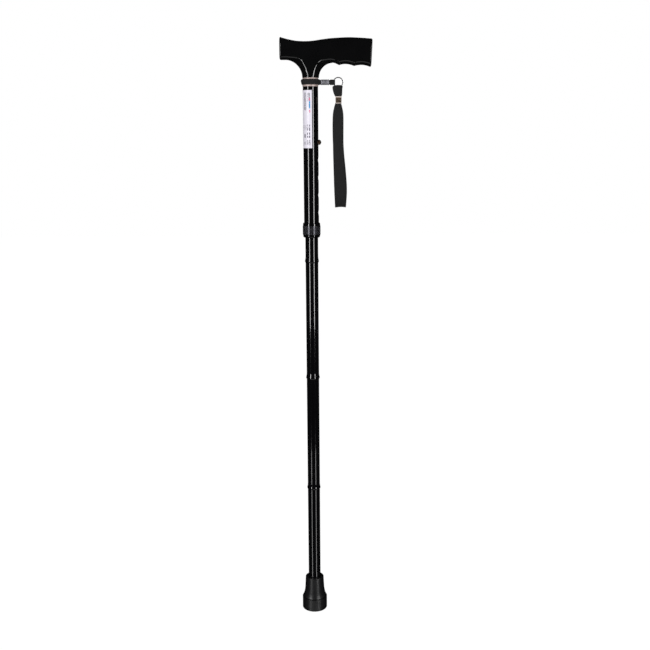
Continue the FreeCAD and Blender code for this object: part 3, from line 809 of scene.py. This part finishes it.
# ---- metal fittings ----
def crimp(name, origin, along, length, width, depth, swell, metal_t=0.45):
    """A sheet-metal sleeve squeezed round webbing. swell(distance along, angle) is its outer relief."""
    side = Vector((0, 1, 0)).cross(along)
    out = Vector((0, 1, 0))
    stations = np.linspace(0, length, 57)
    spokes = 72
    loops = []
    for inner in (False, True):
        for s in stations if not inner else reversed(stations):
            ring = []
            for n in range(spokes):
                a = 2 * math.pi * n / spokes
                c, d = math.cos(a), math.sin(a)
                grow = -metal_t if inner else swell(s, a)
                w = (width / 2 + grow) * power(c, 0.34)
                y = (depth / 2 + grow) * power(d, 0.42)
                ring.append(tuple(Vector(origin) + along * s + side * w + out * y))
            loops.append(ring)
    points = [p for ring in loops for p in ring]
    return mesh_piece(name, points, grid_faces(len(loops), spokes, around=True, along=True))


def band_crimp():
    low, high = (corner.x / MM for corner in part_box("band_crimp"))
    length = high - low

    def swell(s, a):
        broad = abs(math.sin(a))        # 1 on the two broad sides
        lip = 0.22 * hump(s, 0.5, 0.4) + 0.3 * hump(length - s, 0.5, 0.45)
        plate = -0.16 * ease((s - 1.2) / 0.4) * ease((length - 1.4 - s) / 0.4) * ease((broad - 0.6) * 6)
        ribs = 0.07 * math.cos(2 * math.pi * s / 1.5) * ease((broad - 0.7) * 6)
        return lip + plate + ribs - 0.2

    piece = crimp("crimp_of_band", (low, 0, RING_Z + 0.1), Vector((1, 0, 0)), length, 7.9, 3.5, swell)
    return place(piece, "band", "crimp_grey", paints["crimp_grey"], "band_crimp")


def strap_crimp():
    low, high = (corner.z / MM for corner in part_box("strap_crimp"))
    length = high - low

    def swell(s, a):
        lip = 0.25 * hump(s, 0.45, 0.4) + 0.25 * hump(length - s, 0.45, 0.4)
        bites = 0.16 * math.cos(2 * math.pi * s / 1.35) * math.cos(9 * a)
        return lip + bites * ease((s - 0.9) / 0.5) * ease((length - 0.9 - s) / 0.5) - 0.25

    piece = crimp("crimp_of_loop", (CRIMP_X, 0, low), Vector((0, 0, 1)), length, 9.2, 5.6, swell)
    return place(piece, "strap", "crimp_brass", paints["crimp_brass"], "strap_crimp")


def tube_along(name, centres, radial, flat, sides=20, closed=False, fixed=None):
    """A bar of rounded section along a line: flat is its half size along its normal, radial across it.

    fixed is a direction that the normal keeps to; without it the normal follows the line.
    """
    centres = np.array(centres, float)
    if closed:
        tangents = np.roll(centres, -1, 0) - np.roll(centres, 1, 0)
    else:
        tangents = np.gradient(centres, axis=0)
    points = []
    normal = Vector(fixed or (0, 0, 1))
    for centre, tangent in zip(centres, tangents):
        forward = Vector(tangent).normalized()
        axis = Vector(fixed) if fixed else normal
        normal = (axis - axis.dot(forward) * forward).normalized()
        side = forward.cross(normal)
        for n in range(sides):
            a = 2 * math.pi * n / sides
            points.append(tuple(Vector(centre) + side * (radial * power(math.cos(a), 0.7))
                                + normal * (flat * power(math.sin(a), 0.7))))
    faces = grid_faces(len(centres), sides, around=True, along=closed)
    if not closed:
        last = len(points) - sides
        faces += [tuple(reversed(range(sides))), tuple(range(last, last + sides))]
    return mesh_piece(name, points, faces)


def split_ring():
    """Two turns of flattened wire side by side, with the step from one turn to the other."""
    turns = []
    count = 300
    for n in range(count + 1):
        share = n / count
        a = math.radians(105 + 700 * share)
        y = -0.33 + 0.66 * ease((share - 0.44) / 0.12)
        turns.append((RING_X + RING_R * math.cos(a), y, RING_Z + RING_R * math.sin(a)))
    piece = tube_along("key_ring", turns, 0.68, 0.31, fixed=(0, 1, 0))
    return place(piece, "ring", "ring_chrome", paints["ring_chrome"], "split_ring")


# ---- button spring ----
BUTTON_TURN = -3.0                      # degrees from +X to the button
LEAF_BEND_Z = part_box("button_spring")[0].z / MM


def button_leaf():
    """The V leaf: its front leg moves in with the button, and its back leg bears on the tube."""
    turn = math.radians(BUTTON_TURN)
    ahead = Vector((math.cos(turn), math.sin(turn), 0))
    across = Vector((-math.sin(turn), math.cos(turn), 0))
    low = LEAF_BEND_Z + 0.3
    # distance towards the button, height over the bend
    profile = [(-6.8, 35.6), (-6.8, 34.5), (-3.6, 17.0), (-1.0, 1.6), (-0.6, 0), (0.6, 0), (1.0, 1.6),
               (3.3, 15.0), (5.6, 26.5), (5.6, 29.0), (5.6, 38.6)]
    line = smooth_curve([tuple(ahead * r + Vector((0, 0, low + z))) for r, z in profile], 0.5)
    piece = tube_along("leaf_spring", line, 0.3, 4.0, sides=24, fixed=tuple(across))
    piece.data.materials.append(paints["spring_steel"])
    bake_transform(piece)
    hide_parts("button_spring")


# ---- elastic cord inside the tubes ----
CORD_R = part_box("elastic_cord_1")[1].x / MM
BRAID = 0.12                            # relief of the braid


def elastic_cords():
    """Three braided lengths, each stretched between the two sections that it joins."""
    for number in (1, 2, 3):
        node = "elastic_cord_%d" % number
        low, high = (corner.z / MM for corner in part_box(node))
        rows = int((high - low) / (0.6))
        spokes = 32
        points = []
        for n in range(rows + 1):
            z = low + (high - low) * n / rows
            for m in range(spokes):
                a = 2 * math.pi * m / spokes
                lift = math.sin(8 * a + z * 1.9) * math.sin(8 * a - z * 1.9)
                r = CORD_R - BRAID + BRAID * lift
                points.append((r * math.cos(a), r * math.sin(a), z))
        faces = grid_faces(rows + 1, spokes, around=True)
        last = len(points) - spokes
        faces += [tuple(reversed(range(spokes))), tuple(range(last, last + spokes))]
        piece = mesh_piece("braid_%d" % number, points, faces)
        weave_map(piece)
        piece.data.materials.append(paints["elastic_braid"])
        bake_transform(piece)
        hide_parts(node)


def weave_map(piece):
    """The map that the woven materials read: millimetres round and along a cord."""
    layer = piece.data.uv_layers.new(name="weave")
    for loop, uv in zip(piece.data.loops, layer.data):
        x, y, z = piece.data.vertices[loop.vertex_index].co / MM
        uv.uv = (math.atan2(y, x) * CORD_R, z)


def knots():
    """The overhand knots that hold the cord's ends at their anchors."""
    for node, body in (("cord_knot_top", "inner"), ("cord_knot_foot", "foot")):
        low, high = (corner.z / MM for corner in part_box(node))
        middle = (low + high) / 2
        turns = []
        for n in range(160):
            a = 2 * math.pi * n / 160
            bend = 2.1 + 0.85 * math.cos(3 * a)
            turns.append((bend * math.cos(2 * a), bend * math.sin(2 * a),
                          middle + 2.1 * math.sin(3 * a)))
        piece = tube_along("knot_" + body, turns, 1.5, 1.5, sides=18, closed=True)
        weave_map(piece)
        place(piece, body, "elastic_braid", paints["elastic_braid"], node)


# ---- studio ----
SURROUND = 0.55             # what soft light sees of the surround
GLOSS_SURROUND = 0.006      # and what a reflection sees
STRIP_AWAY = 1.6
STRIP_TURN = 39.8           # degrees from the front
STRIP_WIDE = 0.215
STRIPS = [("high", 0.14, 1.9, 9.6), ("low", -0.95, -0.28, 3.6)]     # name, from, to, radiance
LOW_AT, LOW_WIDE, LOW_DEEP, LOW_RADIANCE = (0.02, -0.62, -0.52), 0.9, 0.56, 0.5
FLOOR_Z = -270              # the stick reaches down to here, drawn out and pulled apart
FLOOR_HALF = 9000


def studio():
    """Tall soft strips to the left and right in front, a low panel, a white floor and surround."""
    world = bpy.data.worlds.new("surround")
    bpy.context.scene.world = world
    world.use_nodes = True
    nodes, links = world.node_tree.nodes, world.node_tree.links
    background = nodes["Background"]
    path = nodes.new("ShaderNodeLightPath")
    level = nodes.new("ShaderNodeMath")
    level.operation = "MULTIPLY_ADD"
    links.new(path.outputs["Is Camera Ray"], level.inputs[0])
    level.inputs[1].default_value = 1.0 - SURROUND
    level.inputs[2].default_value = SURROUND
    dark = nodes.new("ShaderNodeMath")
    dark.operation = "MULTIPLY_ADD"
    links.new(path.outputs["Is Glossy Ray"], dark.inputs[0])
    dark.inputs[1].default_value = GLOSS_SURROUND - SURROUND
    links.new(level.outputs[0], dark.inputs[2])
    links.new(dark.outputs[0], background.inputs["Strength"])
    background.inputs["Color"].default_value = (1, 1, 1, 1)
    for side, azimuth in (("left", -STRIP_TURN), ("right", STRIP_TURN)):
        a = math.radians(azimuth)
        for part, low, high, radiance in STRIPS:
            at = (STRIP_AWAY * math.sin(a), -STRIP_AWAY * math.cos(a), (low + high) / 2)
            panel("strip_%s_%s" % (side, part), at, Euler((math.radians(90), 0, a)), STRIP_WIDE,
                  high - low, radiance)
    panel("panel_low", LOW_AT, Euler((math.pi, 0, 0)), LOW_WIDE, LOW_DEEP, LOW_RADIANCE)
    corners = [(-1, -1), (1, -1), (1, 1), (-1, 1)]
    floor = mesh_piece("floor", [(FLOOR_HALF * x, FLOOR_HALF * y, FLOOR_Z) for x, y in corners],
                       [(0, 1, 2, 3)], smooth=False)
    pale = Paint("floor_white", (0.1, 0.1, 0.1), 0.9, Specular_IOR_Level=0.0,
                 Emission_Color=(1, 1, 1, 1), Emission_Strength=0.95)
    pale.set("Base Color", pale.mix(pale.noise(0.4, 3), (0.09, 0.09, 0.09), (0.11, 0.11, 0.11)))
    floor.data.materials.append(pale.material)
    floor.visible_glossy = False
    floor.visible_shadow = False
    floor.visible_diffuse = False


def panel(name, at, turn, wide, tall, radiance):
    """A flat soft light that the camera doesn't see."""
    lamp = bpy.data.lights.new(name, "AREA")
    lamp.shape = "RECTANGLE"
    lamp.size = wide
    lamp.size_y = tall
    lamp.energy = radiance * wide * tall * math.pi
    holder = link(bpy.data.objects.new(name, lamp))
    holder.location = at
    holder.rotation_euler = turn
    holder.visible_camera = False


CAMERA_AT = (0.0188, -1.3535, 0.7355)
LOOK_DOWN, ROLL = 12.75, -0.33          # degrees
FOCAL, SENSOR, SHIFT = 50.2, 36, 0.0385


def camera():
    lens = bpy.data.cameras.new("camera")
    lens.lens = FOCAL
    lens.sensor_width = SENSOR
    lens.shift_y = SHIFT
    holder = link(bpy.data.objects.new("camera", lens))
    tilt = Matrix.Rotation(math.radians(90 - LOOK_DOWN), 4, "X")
    holder.matrix_world = (Matrix.Translation(CAMERA_AT) @ tilt
                           @ Matrix.Rotation(math.radians(ROLL), 4, "Z"))
    bpy.context.scene.camera = holder


bpy.context.scene.view_settings.view_transform = "Standard"
camera()
loop, loop_line = wrist_strap()
tab = strap_tab()
clip = strap_crimp()
handle()
label()
strap_band()
band_crimp()
split_ring()
button_leaf()
elastic_cords()
knots()
studio()
